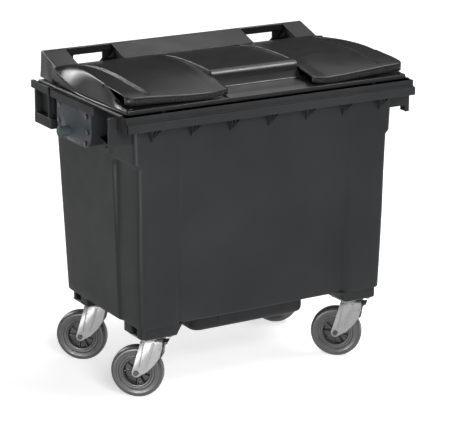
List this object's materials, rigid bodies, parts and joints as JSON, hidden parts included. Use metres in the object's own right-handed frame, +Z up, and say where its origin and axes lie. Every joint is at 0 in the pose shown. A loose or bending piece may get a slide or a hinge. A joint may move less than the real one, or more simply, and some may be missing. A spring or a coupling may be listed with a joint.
{
  "type": "four-wheeled waste container",
  "caption": "Waste container of 660 litre class: tapered moulded tub with comb rim and side trunnions, domed rear-hinged lid, four swivel castors, two with brakes.",
  "frame": {"origin": "on the ground under the middle of the container's length and depth", "axes": "+X to the right along the container, +Y to the rear, +Z up"},
  "size_m": [1.348, 0.764, 1.222],
  "materials": {
    "tub_plastic": "fine moulded grain, satin",
    "lid_plastic": "fine moulded grain, satin",
    "trunnion_paint": "blue-grey coat on steel",
    "castor_zinc": "galvanised pressed steel",
    "fastener_zinc": "zinc plated",
    "tyre_rubber": "solid grey-black rubber",
    "wheel_plastic": "black polypropylene",
    "brake_paint": "black coat",
    "soft_rubber": "soft black rubber",
    "plug_plastic": "black moulded plastic"
  },
  "bodies": {
    "tub": {"tub": "tub_plastic", "trunnion_plate_left": "trunnion_paint", "trunnion_plate_right": "trunnion_paint", "trunnion_pin_left": "trunnion_paint", "trunnion_pin_right": "trunnion_paint", "trunnion_bolts": "fastener_zinc", "trunnion_nuts": "fastener_zinc", "hinge_pins": "fastener_zinc", "lid_buffers": "soft_rubber", "castor_bolts": "fastener_zinc", "castor_nuts": "fastener_zinc", "castor_plate_fl": "castor_zinc", "castor_plate_fr": "castor_zinc", "castor_plate_rl": "castor_zinc", "castor_plate_rr": "castor_zinc", "kingpin_fl": "fastener_zinc", "kingpin_fr": "fastener_zinc", "kingpin_rl": "fastener_zinc", "kingpin_rr": "fastener_zinc"},
    "lid": {"lid": "lid_plastic"},
    "drain_plug": {"drain_plug": "plug_plastic", "drain_seal": "soft_rubber"},
    "castor_fl": {"fork_fl": "castor_zinc", "swivel_bearing_fl": "fastener_zinc", "axle_fl": "fastener_zinc", "axle_nut_fl": "fastener_zinc", "brake_pin_fl": "fastener_zinc"},
    "wheel_fl": {"tyre_fl": "tyre_rubber", "wheel_centre_fl": "wheel_plastic", "wheel_bearing_fl": "fastener_zinc"},
    "brake_fl": {"brake_pedal_fl": "brake_paint"},
    "castor_fr": {"fork_fr": "castor_zinc", "swivel_bearing_fr": "fastener_zinc", "axle_fr": "fastener_zinc", "axle_nut_fr": "fastener_zinc", "brake_pin_fr": "fastener_zinc"},
    "wheel_fr": {"tyre_fr": "tyre_rubber", "wheel_centre_fr": "wheel_plastic", "wheel_bearing_fr": "fastener_zinc"},
    "brake_fr": {"brake_pedal_fr": "brake_paint"},
    "castor_rl": {"fork_rl": "castor_zinc", "swivel_bearing_rl": "fastener_zinc", "axle_rl": "fastener_zinc", "axle_nut_rl": "fastener_zinc"},
    "wheel_rl": {"tyre_rl": "tyre_rubber", "wheel_centre_rl": "wheel_plastic", "wheel_bearing_rl": "fastener_zinc"},
    "castor_rr": {"fork_rr": "castor_zinc", "swivel_bearing_rr": "fastener_zinc", "axle_rr": "fastener_zinc", "axle_nut_rr": "fastener_zinc"},
    "wheel_rr": {"tyre_rr": "tyre_rubber", "wheel_centre_rr": "wheel_plastic", "wheel_bearing_rr": "fastener_zinc"}
  },
  "joints": [
    {"name": "lid_hinge", "type": "hinge", "parent": "tub", "child": "lid", "pos_m": [0, 0.366, 1.116], "axis": [-1, 0, 0], "range_deg": [0, 180]},
    {"name": "drain_plug_turn", "type": "hinge", "parent": "tub", "child": "drain_plug", "pos_m": [0, 0, 0.205], "axis": [0, 0, 1], "range_deg": [0, 90]},
    {"name": "swivel_fl", "type": "hinge", "parent": "tub", "child": "castor_fl", "pos_m": [-0.443, -0.23, 0.235], "axis": [0, 0, 1], "continuous": true},
    {"name": "wheel_spin_fl", "type": "hinge", "parent": "castor_fl", "child": "wheel_fl", "pos_m": [-0.48451, -0.19392, 0.1], "axis": [-0.6561, -0.7547, 0], "continuous": true},
    {"name": "brake_press_fl", "type": "hinge", "parent": "castor_fl", "child": "brake_fl", "pos_m": [-0.41583, -0.25362, 0.2], "axis": [0.6561, 0.7547, 0], "range_deg": [0, 22]},
    {"name": "swivel_fr", "type": "hinge", "parent": "tub", "child": "castor_fr", "pos_m": [0.443, -0.23, 0.235], "axis": [0, 0, 1], "continuous": true},
    {"name": "wheel_spin_fr", "type": "hinge", "parent": "castor_fr", "child": "wheel_fr", "pos_m": [0.40149, -0.19392, 0.1], "axis": [-0.6561, -0.7547, 0], "continuous": true},
    {"name": "brake_press_fr", "type": "hinge", "parent": "castor_fr", "child": "brake_fr", "pos_m": [0.47017, -0.25362, 0.2], "axis": [0.6561, 0.7547, 0], "range_deg": [0, 22]},
    {"name": "swivel_rl", "type": "hinge", "parent": "tub", "child": "castor_rl", "pos_m": [-0.443, 0.23, 0.235], "axis": [0, 0, 1], "continuous": true},
    {"name": "wheel_spin_rl", "type": "hinge", "parent": "castor_rl", "child": "wheel_rl", "pos_m": [-0.48451, 0.26608, 0.1], "axis": [-0.6561, -0.7547, 0], "continuous": true},
    {"name": "swivel_rr", "type": "hinge", "parent": "tub", "child": "castor_rr", "pos_m": [0.443, 0.23, 0.235], "axis": [0, 0, 1], "continuous": true},
    {"name": "wheel_spin_rr", "type": "hinge", "parent": "castor_rr", "child": "wheel_rr", "pos_m": [0.40149, 0.26608, 0.1], "axis": [-0.6561, -0.7547, 0], "continuous": true}
  ]
}
